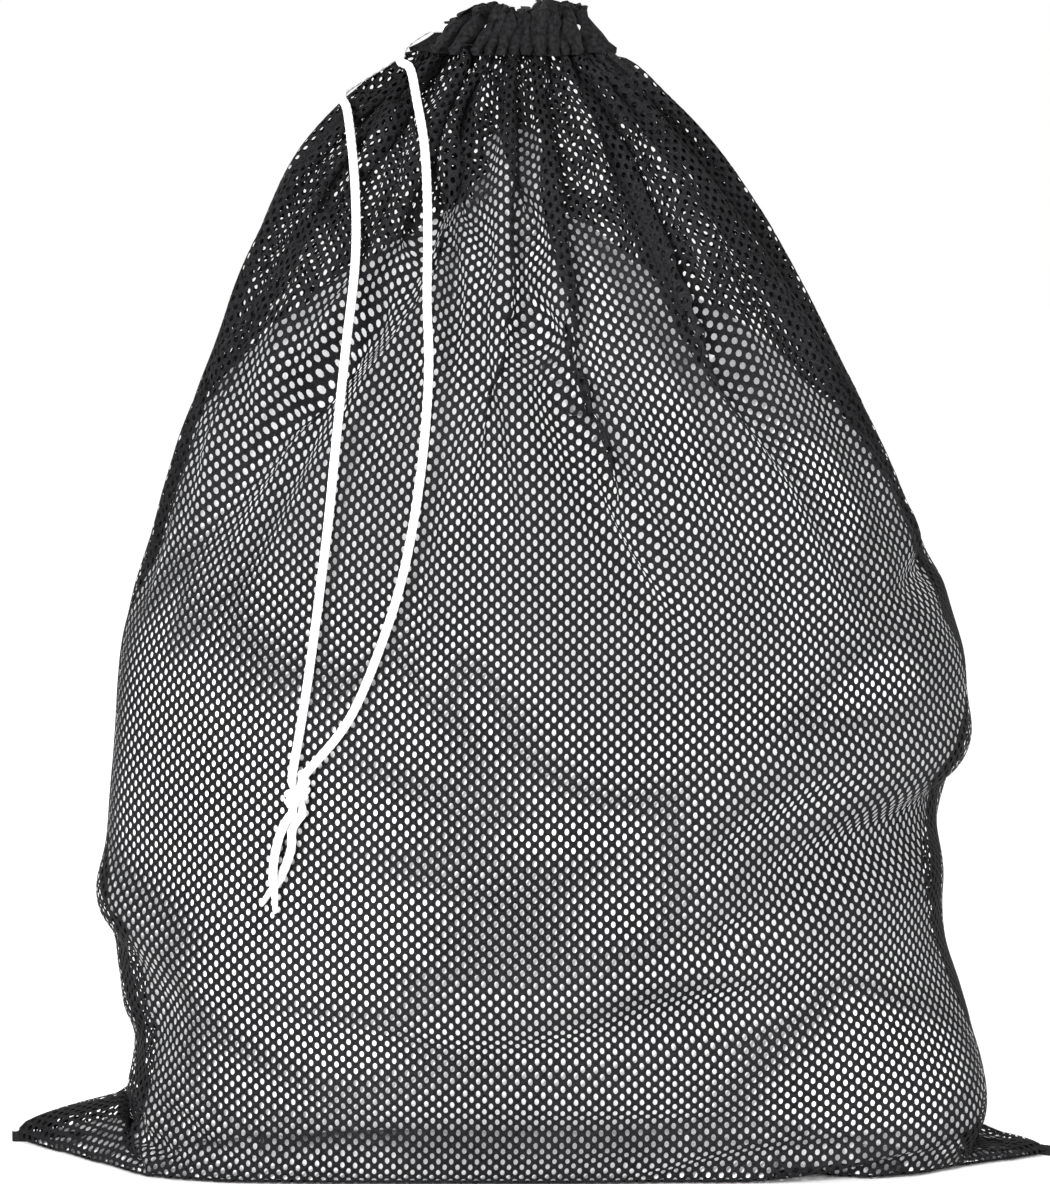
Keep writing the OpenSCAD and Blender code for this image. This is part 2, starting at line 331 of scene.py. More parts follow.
def thread_material(name, dark, light, scale):
    """Spun or braided fibre: fine uneven light and dark."""
    mat, nodes, links, shader = new_material(name)
    shader.inputs["Roughness"].default_value = 0.7
    shader.inputs["Sheen Weight"].default_value = 0.015
    shader.inputs["Specular IOR Level"].default_value = 0.06
    noise = noise_at(nodes, links, scale, 4)
    coloured(nodes, links, shader, noise, (0.3, dark), (0.7, light))
    bumped(nodes, links, shader, noise, 0.5, 0.0002)
    return mat


def stuffing_material():
    """White loose filling, a little crumpled."""
    mat, nodes, links, shader = new_material("white_filling")
    shader.inputs["Roughness"].default_value = 0.85
    noise = noise_at(nodes, links, 16, 5)
    coloured(nodes, links, shader, noise, (0.25, (0.84, 0.84, 0.86)), (0.7, (0.96, 0.96, 0.96)))
    bumped(nodes, links, shader, noise, 0.35, 0.004)
    return mat


# ------------------------------------------------------------------ the filled bag's shape
STEPS_UP = 640          # heights in the table of sections, one for each millimetre


def shape_table():
    """Left and right half width, half depth and squareness for every millimetre of height."""
    zs = STATIONS[:, 0]
    z = np.linspace(0, RIM_Z, STEPS_UP + 1)
    i = np.clip(np.searchsorted(zs, z, side="right") - 1, 0, len(zs) - 2)
    h = zs[i + 1] - zs[i]
    t = (z - zs[i]) / h
    out = []
    for col in range(1, 5):
        v = STATIONS[:, col]
        d = np.zeros(len(zs))
        d[1:-1] = (v[2:] - v[:-2]) / (zs[2:] - zs[:-2])
        d[0] = (v[1] - v[0]) / (zs[1] - zs[0])
        d[-1] = (v[-1] - v[-2]) / (zs[-1] - zs[-2])
        out.append((2 * t ** 3 - 3 * t ** 2 + 1) * v[i] + (t ** 3 - 2 * t ** 2 + t) * h * d[i]
                   + (3 * t ** 2 - 2 * t ** 3) * v[i + 1] + (t ** 3 - t ** 2) * h * d[i + 1])
    return np.stack(out, 1)


SHAPE = shape_table()


def shape_at(z):
    """The four section numbers at each z."""
    k = np.clip(z, 0, RIM_Z) / RIM_Z * STEPS_UP
    i = np.clip(k.astype(int), 0, STEPS_UP - 1)
    f = (k - i)[..., None]
    t = SHAPE[i] * (1 - f) + SHAPE[i + 1] * f
    return t[..., 0], t[..., 1], t[..., 2], t[..., 3]


def section(share, z):
    """Points at shares 0..2 round the section at z: 0..1 is the front, left to right."""
    left, right, depth, power = (float(q) for q in shape_at(np.array(z)))
    a = np.linspace(np.pi, 2 * np.pi, 400)
    c, s = np.cos(a), np.sin(a)
    x = np.where(c < 0, left, right) * np.sign(c) * np.abs(c) ** (2 / power)
    y = -depth * np.abs(s) ** (2 / power)
    d = np.concatenate([[0], np.cumsum(np.hypot(np.diff(x), np.diff(y)))])
    f = np.where(share <= 1, share, 2 - share)
    px, py = np.interp(f, d / d[-1], x), np.interp(f, d / d[-1], y)
    return px, np.where(share <= 1, py, -py)


SHARE = np.arange(COLS) * 2.0 / COLS
FLAT_U = np.where(SHARE <= 1, -HALF_W + 2 * HALF_W * SHARE, HALF_W - 2 * HALF_W * (SHARE - 1))
SIDE_A = HALF_W - np.abs(FLAT_U)
FRONT = SHARE <= 1
FLAT_V = np.linspace(0, CLOTH_V, ROWS)
# heights at which the gathered neck's main pleats are placed, and how much of its height a pleat keeps there
FOLD_Z = [0.28, 0.35, 0.42, 0.50, 0.56, 0.62]
PLEAT_FADE = [0.4, 0.75, 1, 1, 1, 1]
# where each pleat stands at those heights: flat positions in mm across a panel
FRONT_FOLDS = [
    [-285, -280, -268, -248, -225, -190],
    [-222, -206, -178, -128, -100, -84],
    [-74, -60, -46, -32, -28, -24],
    [112, 84, 46, 22, 24, 30],
    [176, 158, 140, 126, 112, 92],
    [276, 262, 246, 216, 188, 150],
]
BACK_FOLDS = [
    [-270, -262, -248, -222, -196, -160],
    [-168, -156, -142, -122, -104, -86],
    [-66, -58, -50, -40, -34, -28],
    [52, 46, 42, 38, 34, 30],
    [156, 146, 134, 118, 102, 88],
    [262, 254, 242, 218, 192, 156],
]
# how high the filling reaches behind the front and the back: flat positions in mm, heights in metres
FILL_U = [-305, -240, -160, -90, -40, -10, 20, 60, 90, 130, 190, 305]
FILL_TOP = [0.46, 0.50, 0.545, 0.575, 0.585, 0.605, 0.600, 0.575, 0.550, 0.510, 0.470, 0.430]
BACK_TOP = [0.46, 0.51, 0.55, 0.56, 0.56, 0.56, 0.56, 0.555, 0.55, 0.54, 0.51, 0.430]
# share of the filled bag's section that the filling takes at each height, across and front to back
SLIM_Z = [0, 0.25, 0.32, 0.38, 0.45, 0.52, 0.57, 0.61, 0.64]
SLIM_X = [0.995, 0.995, 0.995, 0.99, 0.98, 0.95, 0.89, 0.77, 0.5]
SLIM_Y = [0.995, 0.985, 0.965, 0.94, 0.90, 0.85, 0.79, 0.70, 0.5]


def ring_wave(knots, values):
    """Values between knots round the columns."""
    order = np.argsort(knots % COLS)
    k, q = (knots % COLS)[order], values[order]
    return np.interp(np.arange(COLS), np.concatenate([k - COLS, k, k + COLS]), np.tile(q, 3))


def smooth_noise(rng, n, knots):
    """Smooth repeating noise of n samples."""
    v = rng.standard_normal(knots)
    t = np.arange(n) / n * knots
    i = t.astype(int)
    f = t - i
    f = f * f * (3 - 2 * f)
    return v[i % knots] * (1 - f) + v[(i + 1) % knots] * f


def pleats(rng):
    """The pleats: where they stand at a height, their number, their sizes and the way each leans."""
    n = len(FRONT_FOLDS) + len(BACK_FOLDS)
    per_metre = COLS / 2 / (2 * HALF_W)
    size = 0.8 + 0.4 * rng.random(n)
    lean = np.where(rng.random(n) < 0.25, -1.0, 1.0) * (0.7 + 0.5 * rng.random(n))

    def at(z):
        ahead, behind = (np.array([np.interp(z, FOLD_Z, row) for row in folds]) / 1000
                         for folds in (FRONT_FOLDS, BACK_FOLDS))
        peak = np.concatenate([(ahead + HALF_W) * per_metre, COLS / 2 + (HALF_W - behind[::-1]) * per_metre])
        gap = (np.roll(peak, -1) - peak) % COLS
        knots = [peak, peak + gap * 0.5, peak + gap * 0.25, peak + gap * 0.75]
        fine = ring_wave(np.concatenate(knots), np.repeat([1.0, -1.0], 2 * n))
        return peak, fine

    return at, n, size, lean


GIRTH = 4 * HALF_W      # cloth round the bag
LEVELS = 161            # heights at which the bag's section is worked out
AROUND = 720            # points round each of those sections
LEAST_RATE = 0.12       # the least share of its width that the cloth keeps within a pleat
NECK_FROM = 0.60        # height at which the sections start to close on the neck
FINE_FROM = 0.585       # height at which the main pleats give way to fine ones
EAR_LOW, EAR_HALF = 0.004, 0.6
FLOOR_GAP = 0.0008      # height of the cloth that lies on the floor


def bag_sections():
    """The heights, the section's points at each, its length, and each column's climb up the bag."""
    heights = np.linspace(0, RIM_Z, LEVELS)
    dense = np.arange(0, 2, 2 / AROUND)
    px, py = np.zeros((LEVELS, AROUND)), np.zeros((LEVELS, AROUND))
    for k, z in enumerate(heights):
        px[k], py[k] = section(dense, z)
    angle = np.pi + np.pi * dense
    near = np.clip((heights - NECK_FROM) / 0.04, 0, 1)[:, None] ** 2
    px = px * (1 - near) + (NECK[0] + NECK[1] * np.cos(angle)) * near
    py = py * (1 - near) + NECK[2] * np.sin(angle) * near
    length = np.hypot(np.roll(px, -1, axis=1) - px, np.roll(py, -1, axis=1) - py).sum(axis=1)
    dz = heights[1] - heights[0]
    climb = np.sqrt(np.diff(px, axis=0) ** 2 + np.diff(py, axis=0) ** 2 + dz ** 2)
    climb = np.concatenate([np.zeros((1, AROUND)), np.cumsum(climb, axis=0)])[:, ::AROUND // COLS]
    return heights, px, py, length, climb


def base_row(v, rise):
    """A row of the boxed base: flat on the floor, with its corners drawn out to the sides."""
    way = np.where(FRONT, -1.0, 1.0)
    ear = (SIDE_A < BASE_D) & (v > SIDE_A)
    x = np.where(ear, np.sign(FLAT_U) * (HALF_W - v), FLAT_U)
    y = np.where(ear, SIDE_A, v) * way
    return np.column_stack([x, y, np.where(ear, EAR_LOW + EAR_HALF * rise, FLOOR_GAP)])


def first_shape(rng):
    """The cloth laid round the filled bag: boxed base, sections above, spare width in leaning pleats."""
    heights, px, py, around, climb = bag_sections()
    dz = heights[1] - heights[0]
    waves, n, size, lean = pleats(rng)
    cloth = np.zeros((ROWS, COLS, 3))
    rise = np.where(FLAT_U < 0, EAR_RISE[-1], EAR_RISE[1]) * np.clip((BASE_D - SIDE_A) / BASE_D, 0, 1)
    column = np.arange(COLS)
    for r, v in enumerate(FLAT_V):
        if v <= BASE_D:
            cloth[r] = base_row(v, rise)
            continue
        reach = (v - BASE_D) / (CLOTH_V - BASE_D)
        zc = np.array([np.interp(reach * climb[-1, c], climb[:, c], heights) for c in range(COLS)])
        z = float(zc.mean())
        k = np.minimum((zc / dz).astype(int), LEVELS - 2)
        f = zc / dz - k
        length = float(np.interp(z, heights, around))
        peak, fine = waves(z)
        spare = max(GIRTH - length, 0)
        wide = min(spare / (0.6 * n), 0.85 * GIRTH / n) / GIRTH * COLS
        far = (column[:, None] - peak[None] + COLS / 2) % COLS - COLS / 2
        nearest = np.abs(far).argmin(axis=1)
        off = far[column, nearest]
        half = np.maximum(wide * size[nearest] / 2, 0.5)
        within = np.clip(1 - np.abs(off) / half, 0, 1)
        inside = np.abs(off) < half
        # the columns within a pleat advance slowly round the section, and stand out from it instead
        ratio = 1 - spare / GIRTH * COLS / max(inside.sum(), 1)
        rate = np.where(inside, max(ratio, LEAST_RATE), 1.0)
        fade = float(np.interp(z, FOLD_Z, PLEAT_FADE)) * np.clip((z - 0.2) / 0.08, 0, 1)
        rate = 1 - (1 - rate) * fade
        share = np.cumsum(rate) - rate
        mid = share[COLS // 2]
        share = np.where(column < COLS // 2, share / mid, 1 + (share - mid) / (rate.sum() - mid))
        fine_part = np.clip((z - FINE_FROM) / 0.03, 0, 1)
        share = share * (1 - fine_part) + SHARE * fine_part
        at = share / 2 * AROUND
        i = np.floor(at).astype(int) % AROUND
        g = at - np.floor(at)
        j = (i + 1) % AROUND
        x = (px[k, i] * (1 - g) + px[k, j] * g) * (1 - f) + (px[k + 1, i] * (1 - g) + px[k + 1, j] * g) * f
        y = (py[k, i] * (1 - g) + py[k, j] * g) * (1 - f) + (py[k + 1, i] * (1 - g) + py[k + 1, j] * g) * f
        centre = NECK[0] * np.clip((z - 0.5) / 0.14, 0, 1)
        out = np.stack([(x - centre) / 0.0625, y / 0.0169], 1)
        out /= np.linalg.norm(out, axis=1, keepdims=True)
        along = np.stack([-out[:, 1], out[:, 0]], 1)
        slope = math.sqrt(max(1 - max(ratio, LEAST_RATE) ** 2, 0)) * GIRTH / COLS
        tall = within * half * slope * fade * (1 - fine_part)
        ring = math.sqrt(max(GIRTH ** 2 - length ** 2, 0)) / (8 * n) * fine * fine_part
        sideways = tall * 0.78 * lean[nearest] * np.where(FRONT, 1.0, -1.0)
        move = out * (tall * 0.62 + ring)[:, None] + along * sideways[:, None]
        cloth[r] = np.column_stack([x + move[:, 0], y + move[:, 1], zc])
    return cloth


def pull(a, b, rest, share):
    """Moves pairs of points towards their rest distance."""
    d = a - b
    length = np.sqrt((d * d).sum(-1)) + 1e-9
    k = (share * 0.5 * (length - rest) / length)[..., None] * d
    a -= k
    b += k


GRAVITY = 0.00003       # fall in one step of the solver, in metres
KEPT_SPEED = 0.9
FASTEST = 0.004         # most that a point moves in one step by its own speed


def simulate(steps, rounds):
    """Cloth as points and threads, settled on the filling and the floor, with its top held at the neck."""
    rng = np.random.default_rng(7)
    cloth = first_shape(rng)
    start = cloth.copy()
    cloth = softened(cloth, 6)
    cloth[:14] = start[:14]
    du, dv = GIRTH / COLS, CLOTH_V / (ROWS - 1)
    v2, a2 = np.meshgrid(FLAT_V, SIDE_A, indexing="ij")
    u2 = np.broadcast_to(FLAT_U, v2.shape)
    ear = (a2 < BASE_D) & (v2 > a2) & (v2 < BASE_D + 0.01)
    base = (v2 <= BASE_D) & ~ear
    rise = np.where(u2 < 0, EAR_RISE[-1], EAR_RISE[1])
    across = np.clip(1 - (a2 / np.maximum(v2, 1e-6)) ** 2, 0, 1)
    ear_floor = np.where(ear, 0.003 + rise * np.sqrt(np.clip(v2 / BASE_D, 0, 1)) * across, 0.0)
    lump = np.zeros((ROWS, COLS))
    for k in (5, 9, 14):
        rows = np.stack([smooth_noise(rng, COLS, k * 2) for _ in range(k + 2)])
        t = np.linspace(0, k + 0.999, ROWS)
        i = t.astype(int)
        f = (t - i)[:, None]
        f = f * f * (3 - 2 * f)
        lump += (rows[i] * (1 - f) + rows[np.minimum(i + 1, k + 1)] * f) * 0.09 / k
    fade = np.clip((v2 - 0.10) / 0.10, 0, 1) * np.clip((0.70 - v2) / 0.15, 0, 1)
    lumps = 0.994 + lump * fade
    mirror = (-np.arange(COLS)) % COLS
    pinned = start[-1].copy()
    before = cloth.copy()

    def up_down(p):
        for o in (0, 1):
            n = (ROWS - o) // 2
            pull(p[o:o + 2 * n:2], p[o + 1:o + 1 + 2 * n:2], dv, 1.0)

    def round_about(p):
        pull(p[:, 0::2], p[:, 1::2], du, 1.0)
        q = np.roll(p, -1, axis=1)
        pull(q[:, 0::2], q[:, 1::2], du, 1.0)
        p[:] = np.roll(q, 1, axis=1)

    def slanted(p):
        for s in (1, -1):
            for o in (0, 1):
                n = (ROWS - o) // 2
                q = np.roll(p, -s, axis=1)
                a, b = p[o:o + 2 * n:2].copy(), q[o + 1:o + 1 + 2 * n:2].copy()
                pull(a, b, math.hypot(du, dv), 0.35)
                p[o:o + 2 * n:2] = a
                p[o + 1:o + 1 + 2 * n:2] = np.roll(b, s, axis=1)

    def stiffen(p, share):
        for o in range(4):
            rows = np.arange(o, ROWS - 2, 4)
            a, b = p[rows], p[rows + 2]
            pull(a, b, 2 * dv, share)
            p[rows], p[rows + 2] = a, b
            cols = np.arange(o, COLS, 4)
            a, b = p[:, cols], p[:, (cols + 2) % COLS]
            pull(a, b, 2 * du, share)
            p[:, cols], p[:, (cols + 2) % COLS] = a, b

    def keep_out(p):
        x, y, z = p[..., 0], p[..., 1], p[..., 2]
        left, right, depth, power = shape_at(z)
        a = np.where(x < 0, left, right) * np.interp(z, SLIM_Z, SLIM_X) * lumps
        b = depth * np.interp(z, SLIM_Z, SLIM_Y) * lumps
        r = ((np.abs(x) / a) ** power + (np.abs(y) / b) ** power) ** (1 / power)
        inside = (r < 1) & (r > 0.05) & (z > 0.002) & ~ear
        k = np.where(inside, 1 / np.maximum(r, 0.05), 1.0)
        p[..., 0], p[..., 1], p[..., 2] = x * k, y * k, np.maximum(z, FLOOR_GAP)

    for _ in range(steps):
        speed = np.clip((cloth - before) * KEPT_SPEED, -FASTEST, FASTEST)
        before = cloth.copy()
        cloth = cloth + speed + np.array([0, 0, -GRAVITY])
        for turn in range(rounds):
            up_down(cloth)
            round_about(cloth)
            slanted(cloth)
            if turn == 0:
                stiffen(cloth, 0.25)
            keep_out(cloth)
            cloth[..., 2] = np.where(ear, np.maximum(cloth[..., 2], ear_floor), cloth[..., 2])
            cloth[0] = 0.5 * (cloth[0] + cloth[0][mirror])
            cloth[0, :, 1], cloth[0, :, 2] = 0, FLOOR_GAP
            cloth[base] = 0.98 * cloth[base] + 0.02 * start[base]
            cloth[..., 2][base] = np.minimum(cloth[..., 2][base], 0.0015)
            cloth[-1] = pinned
    return cloth, lumps


def normals_of(p):
    """Outward unit normals of the cloth grid."""
    round_d = np.roll(p, -1, axis=1) - np.roll(p, 1, axis=1)
    up_d = np.gradient(p, axis=0)
    n = np.cross(round_d, up_d)
    return n / (np.linalg.norm(n, axis=2, keepdims=True) + 1e-12)


def softened(p, times, share=0.5):
    """The grid smoothed towards its neighbours, top and bottom rows kept."""
    p = p.copy()
    for _ in range(times):
        q = 0.25 * (np.roll(p, 1, axis=1) + np.roll(p, -1, axis=1))
        q[1:-1] += 0.25 * (p[2:] + p[:-2])
        p[1:-1] += share * (q[1:-1] - p[1:-1])
    return p


# creases: points (x, z) seen from the front, depth at each, half width; the cloth above one bulges over it
CREASES = [
    ([(0.095, 0.155), (0.140, 0.180), (0.185, 0.196), (0.250, 0.212)], [0, 0.013, 0.018, 0.014], 0.017),
    ([(0.070, 0.137), (0.110, 0.148), (0.160, 0.152)], [0, 0.010, 0], 0.010),
    ([(-0.045, 0.082), (0.020, 0.086), (0.090, 0.104), (0.185, 0.116)], [0, 0.010, 0.012, 0], 0.014),
    ([(0.080, 0.176), (0.125, 0.205), (0.165, 0.224), (0.200, 0.232)], [0, 0.010, 0.011, 0], 0.012),
    ([(0.205, 0.395), (0.238, 0.330), (0.262, 0.310)], [0, 0.007, 0.004], 0.011),
    ([(0.190, 0.325), (0.225, 0.345), (0.255, 0.372)], [0, 0.006, 0.004], 0.010),
    ([(-0.262, 0.135), (-0.235, 0.122), (-0.195, 0.100)], [0.010, 0.008, 0], 0.014),
    ([(0.005, 0.496), (0.033, 0.415), (0.066, 0.358), (0.090, 0.292)], [0.006, 0.016, 0.014, 0], 0.011),
    ([(-0.055, 0.556), (-0.108, 0.474), (-0.162, 0.392), (-0.190, 0.345)], [0.008, 0.017, 0.014, 0], 0.012),
    ([(0.050, 0.580), (0.078, 0.525), (0.105, 0.475), (0.150, 0.410)], [0.004, 0.012, 0.010, 0], 0.011),
    ([(-0.245, 0.060), (-0.215, 0.085), (-0.200, 0.120)], [0.003, 0.006, 0], 0.012),
]


def crease(p):
    """Presses the creases into the front of the cloth, and says how much of a hollow each point lies in."""
    n = normals_of(softened(p, 6))
    facing = np.clip(-n[..., 1] * 2.5 + 0.5, 0, 1) * np.clip((p[..., 2] - 0.01) / 0.03, 0, 1)
    move, hollow = np.zeros(p.shape[:2]), np.zeros(p.shape[:2])
    for points, depth, width in CREASES:
        q = np.asarray(points)
        line = smooth_line(np.column_stack([q, np.zeros(len(q))]), 0.004)[:, :2]
        s = np.linspace(0, 1, len(line))
        deep = np.interp(s, np.linspace(0, 1, len(depth)), depth)
        dx = p[..., 0][..., None] - line[:, 0]
        dz = p[..., 2][..., None] - line[:, 1]
        d = np.hypot(dx, dz)
        k = d.argmin(axis=2)
        near = np.take_along_axis(d, k[..., None], 2)[..., 0]
        above = np.sign(np.take_along_axis(dz, k[..., None], 2)[..., 0])
        wide = np.where(above > 0, width * 0.75, width * 1.4)
        dip = np.exp(-(near / wide) ** 2)
        swell = np.where(above > 0, 0.45, 0.2) * np.exp(-((near - 2.1 * width) / (1.2 * width)) ** 2)
        move += deep[k] * (swell - dip)
        hollow = np.maximum(hollow, dip * facing * np.clip(deep[k] / 0.012, 0, 1))
    p += n * (move * facing)[..., None]
    return p, hollow


def settle_sides(p):
    """Draws the cloth in where it bridges a hollow in the bag's sides."""
    x, y, z = p[..., 0], p[..., 1], p[..., 2]
    left, right, depth, power = shape_at(z)
    a = np.where(x < 0, left, right)
    r = ((np.abs(x) / a) ** power + (np.abs(y) / depth) ** power) ** (1 / power)
    side = np.clip((np.abs(x) / a - 0.5) / 0.4, 0, 1)
    level = np.clip((z - 0.03) / 0.03, 0, 1) * np.clip((0.44 - z) / 0.08, 0, 1)
    k = 1 - side * level * 0.85 * np.clip(1 - 1 / np.maximum(r, 1), 0, 0.15)
    p[..., 0], p[..., 1] = x * k, y * k
    return p


def clear_cord(p, lines):
    """Presses the cloth in behind the cord, below the hem."""
    for _ in range(4):
        n = normals_of(softened(p, 3))
        flat = p.reshape(-1, 3)
        flat_n = n.reshape(-1, 3)
        want, weight = np.zeros(len(flat)), np.full(len(flat), 1e-6)
        for line in lines:
            for q in line[line[:, 2] < 0.606][::2]:
                d2 = ((flat - q) ** 2).sum(1)
                i = int(d2.argmin())
                gap = float((q - flat[i]) @ flat_n[i])
                need = CORD_D / 2 + 0.0009
                if gap < need:
                    w = np.exp(-d2 / 0.010 ** 2)
                    want += w * (gap - need)
                    weight += w
        flat += flat_n * (np.clip(want / weight, -0.012, 0) * np.clip(weight, 0, 1))[:, None]
    return p


# ------------------------------------------------------------------ from the grid to cloth with holes
def cubic_weights(f):
    f2, f3 = f * f, f * f * f
    return np.stack([-0.5 * f3 + f2 - 0.5 * f, 1.5 * f3 - 2.5 * f2 + 1,
                     -1.5 * f3 + 2 * f2 + 0.5 * f, 0.5 * f3 - 0.5 * f2], -1)


def cloth_point(grid, col, row):
    """The smooth cloth at fractional columns and rows."""
    i = np.floor(col).astype(int)
    j = np.clip(np.floor(row).astype(int), 0, ROWS - 2)
    wc, wr = cubic_weights(col - i), cubic_weights(row - j)
    out = np.zeros((len(col), grid.shape[2]))
    for a in range(4):
        rr = np.clip(j + a - 1, 0, ROWS - 1)
        for b in range(4):
            out += grid[rr, (i + b - 1) % COLS] * (wr[:, a] * wc[:, b])[:, None]
    return out


def column_of(u, front):
    """Grid column of a flat position on the front or the back panel."""
    t = (u + HALF_W) / (2 * HALF_W) * COLS / 2
    return t if front else COLS - t


def lattice(low, high):
    """Flat vertices (u, v) and triangles of the mesh cloth between two hole rows, each hole eight-sided."""
    half = PITCH / 2
    rows_all = int(round(CLOTH_V / half))
    dv = CLOTH_V / rows_all
    across = int(round(2 * HALF_W / half))
    index, points, tris = {}, [], []

    def corner(i, j):
        key = (i, j)
        if key not in index:
            index[key] = len(points)
            points.append((-HALF_W + i * half, j * dv))
        return index[key]

    turn = np.arange(8) * np.pi / 4 + np.pi / 8
    ring = np.stack([HOLE[0] * np.cos(turn), HOLE[1] * np.sin(turn)], 1) / math.cos(math.pi / 8)
    for j in range(low, high + 1):
        for i in range(0, across + 1):
            if (i + j) % 2:
                continue
            sides = [(i + 1, j), (i, j + 1), (i - 1, j), (i, j - 1)]
            inside = [0 <= a <= across and 0 <= b <= rows_all for a, b in sides]
            if all(inside) and j > 0:
                c = [corner(a, b) for a, b in sides]
                start = len(points)
                mid = np.array([-HALF_W + i * half, j * dv])
                points.extend((mid + ring).tolist())
                h = [start + k for k in range(8)]
                # hole corners: 0 and 7 face right, 1 and 2 up, 3 and 4 left, 5 and 6 down
                for k in range(4):
                    nxt = (k + 1) % 4
                    a, b, e = h[(2 * k) % 8], h[(2 * k + 1) % 8], h[(2 * k + 7) % 8]
                    tris.append((c[k], a, e))
                    tris.append((c[k], c[nxt], a))
                    tris.append((a, c[nxt], b))
            else:
                c = [corner(a, b) for (a, b), ok in zip(sides, inside) if ok]
                if len(c) >= 3:
                    tris.append(tuple(c[:3]))
                elif len(c) == 2:
                    tris.append((c[0], c[1], corner(i, j)))
    return np.array(points), np.array(tris)


def panel_piece(name, grid, normal_grid, mat, front, low, high):
    """One piece of a panel, as real holes in a bent sheet, and its flat length."""
    flat, tris = lattice(low, high)
    col = column_of(flat[:, 0], front)
    row = flat[:, 1] / CLOTH_V * (ROWS - 1)
    verts = cloth_point(grid, col, row)
    normals = cloth_point(normal_grid, col, row)
    normals /= np.linalg.norm(normals, axis=1, keepdims=True) + 1e-12
    if not front:
        tris = tris[:, ::-1]
    uv = np.stack([(flat[:, 0] + HALF_W) / 0.82 + 0.02, flat[:, 1] / 0.82 + 0.02], 1)
    obj = mesh_object(name, verts, tris, mat, normals, uv)
    low_v, high_v = flat[:, 1].min(), flat[:, 1].max()
    return obj, high_v - low_v


def kept_behind(inner, grid):
    """The filling's points moved back behind every bit of cloth that is near them."""
    close = normals_of(softened(grid, 1))
    for turn in range(-8, 9, 2):
        for step in (-3, 0, 3):
            rows = np.clip(np.arange(ROWS) + step, 0, ROWS - 1)
            beside, facing = np.roll(grid, turn, axis=1)[rows], np.roll(close, turn, axis=1)[rows]
            off = inner - beside
            near = np.linalg.norm(off, axis=2) < NEAR_CLOTH
            proud = np.where(near, (off * facing).sum(-1) + PATCH, 0)
            inner = inner - facing * np.maximum(proud, 0)[..., None]
    proud = ((inner - grid) * close).sum(-1) + PATCH
    return inner - close * np.maximum(proud, 0)[..., None]


def filling(grid, lumps, hollow, mat):
    """What fills the bag: a rounded white mass that the cloth lies on, lower than the neck."""
    n = normals_of(softened(grid, 30))
    steep = np.clip((normals_of(softened(grid, 2)) * n).sum(-1), 0.35, 1)
    x, y, z = grid[..., 0], grid[..., 1], grid[..., 2]
    left, right, depth, power = shape_at(z)
    a = np.where(x < 0, left, right) * np.interp(z, SLIM_Z, SLIM_X) * lumps
    b = depth * np.interp(z, SLIM_Z, SLIM_Y) * lumps
    r = ((np.abs(x) / a) ** power + (np.abs(y) / b) ** power) ** (1 / power)
    # behind the cloth's ridges the filling stays back, up to DEEPEST
    gap = (r - 1) * np.hypot(x, y) / np.maximum(r, 0.2)
    loose = PATCH + 0.003 * np.clip((z - 0.48) / 0.05, 0, 1)
    deep = np.clip(1.8 * gap, 0, DEEPEST) + loose / steep
    inner = softened(grid - n * (deep + CREASE_GAP * hollow)[..., None], 2)
    inner = kept_behind(inner, grid)
    on_floor = z < 0.004
    inner[on_floor] = grid[on_floor] + [0, 0, 0.0014]
    # the top is domed: it closes inwards and flattens within DOME of its height
    flat = FLAT_U * 1000
    top = np.where(FRONT, np.interp(flat, FILL_U, FILL_TOP), np.interp(flat, FILL_U, BACK_TOP))
    rise = np.clip((inner[..., 2] - top + DOME) / (DOME + 0.020), 0, 1)
    inner[..., :2] *= (1 - 0.93 * rise ** 2)[..., None]
    over = np.maximum(inner[..., 2] - (top - DOME), 0)
    inner[..., 2] += 0.05 * np.tanh(over / 0.05) - over
    inner[..., 2] = np.maximum(inner[..., 2], 0.0022)
    last = int(np.searchsorted(grid[..., 2].mean(axis=1), 0.615))
    inner = inner[2:last]
    centre = inner[-1].mean(axis=0)
    verts = np.vstack([inner.reshape(-1, 3), (centre + (inner[-1] - centre) * 0.15)])
    return mesh_object("white_filling", verts, grid_faces(len(inner) + 1, COLS, wrap=True), mat)


